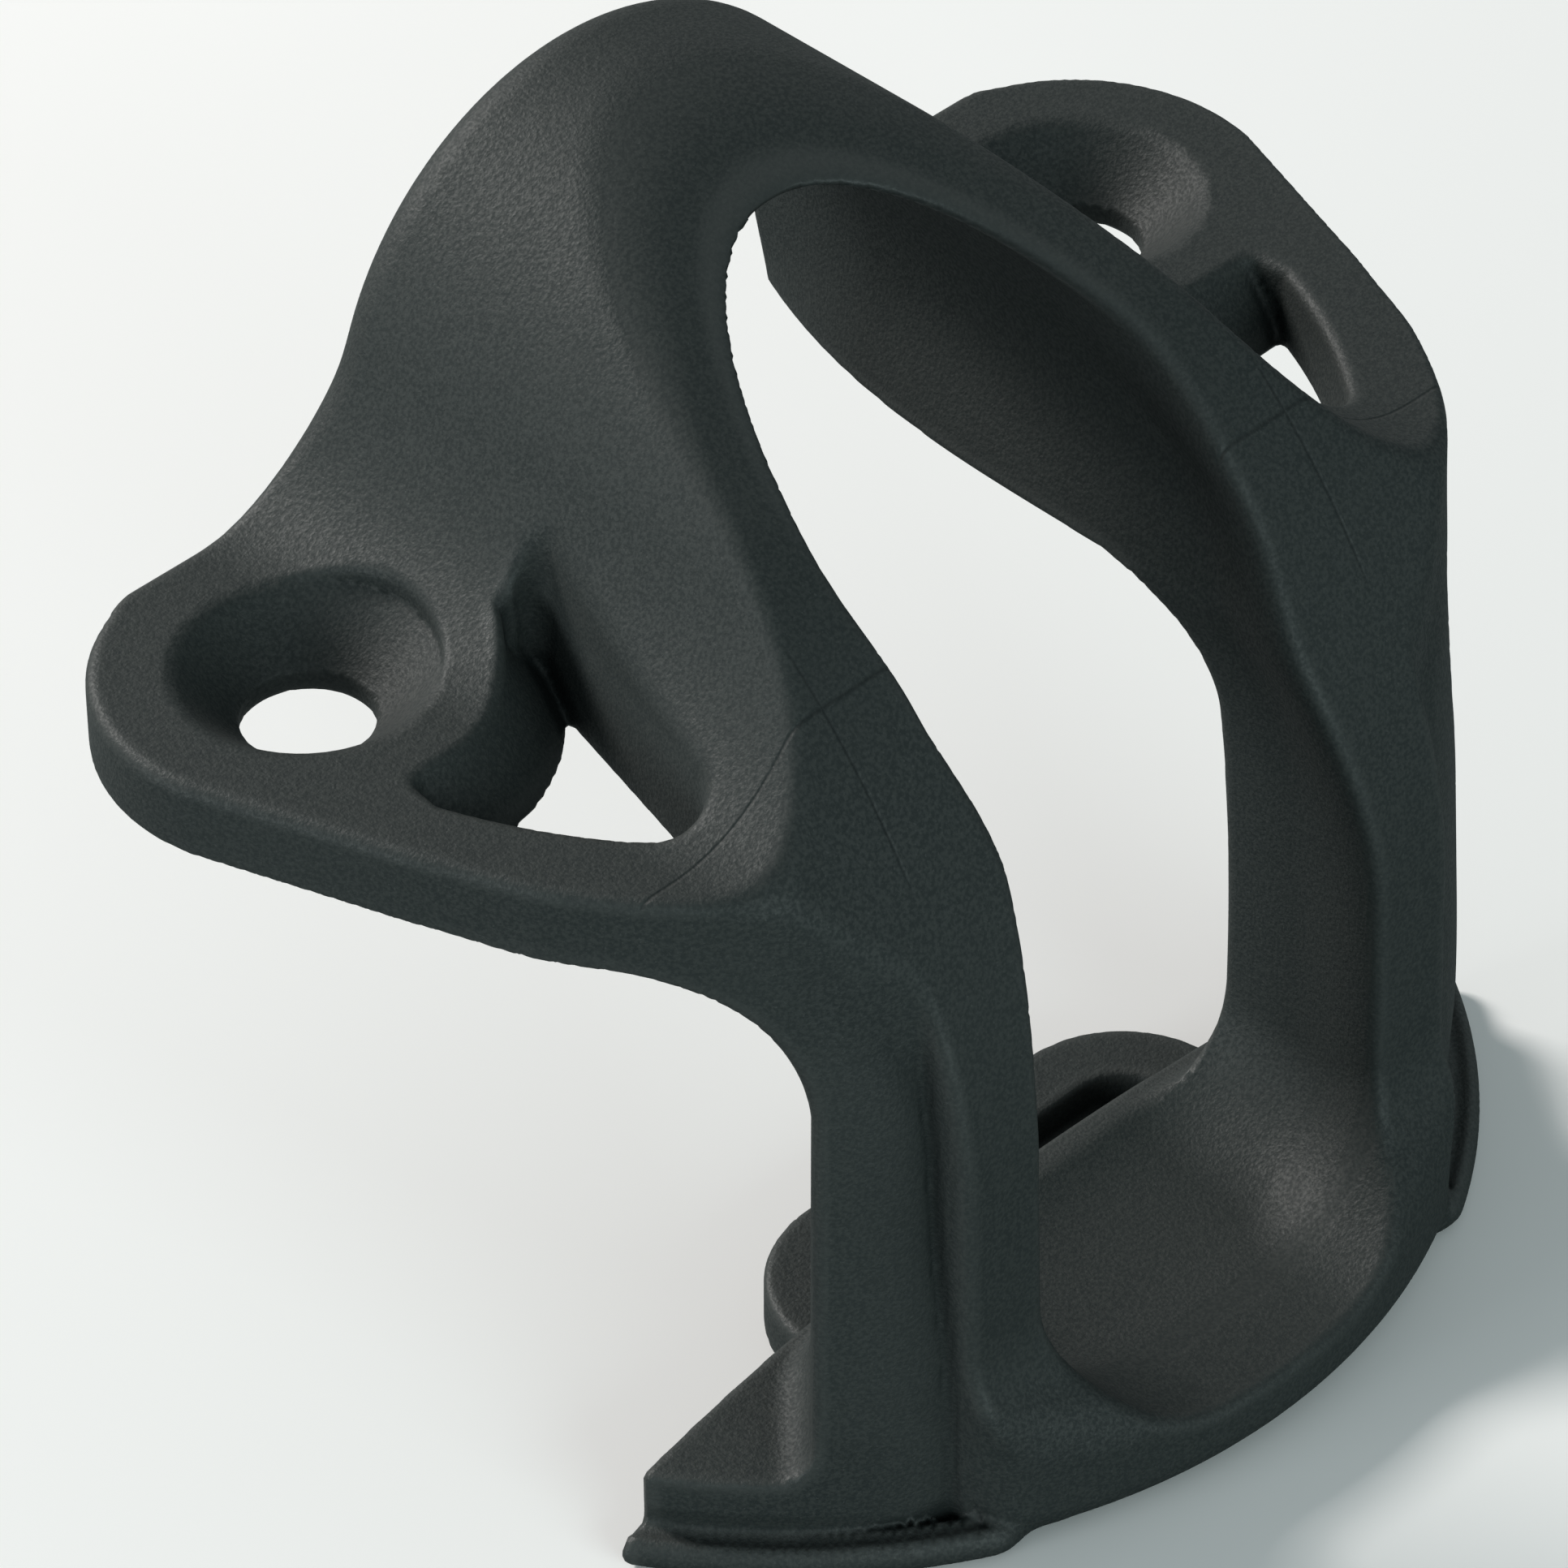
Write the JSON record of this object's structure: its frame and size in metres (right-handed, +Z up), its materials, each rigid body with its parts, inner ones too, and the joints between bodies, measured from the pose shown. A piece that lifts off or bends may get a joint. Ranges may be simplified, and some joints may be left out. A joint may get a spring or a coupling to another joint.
{
  "type": "cleat horn",
  "caption": "Moulded fairlead horn that bolts over a cam cleat: an arched hood and an upright rope mouth on a rounded sill, with a countersunk ear each side.",
  "frame": {"origin": "deck plane, at the bottom centre of the part's box: on the mirror plane, 10.95 mm in front of the line between the axes of the two screw holes", "axes": "+X across the horn from hole to hole, -Y out of the rope mouth, +Y over the cleat, +Z up from the deck"},
  "size_m": [0.0528, 0.0364, 0.0427],
  "materials": {
    "moulded_nylon": "matte, finely grained, charcoal grey"
  },
  "bodies": {
    "root": {"horn_body": "moulded_nylon"}
  },
  "joints": []
}
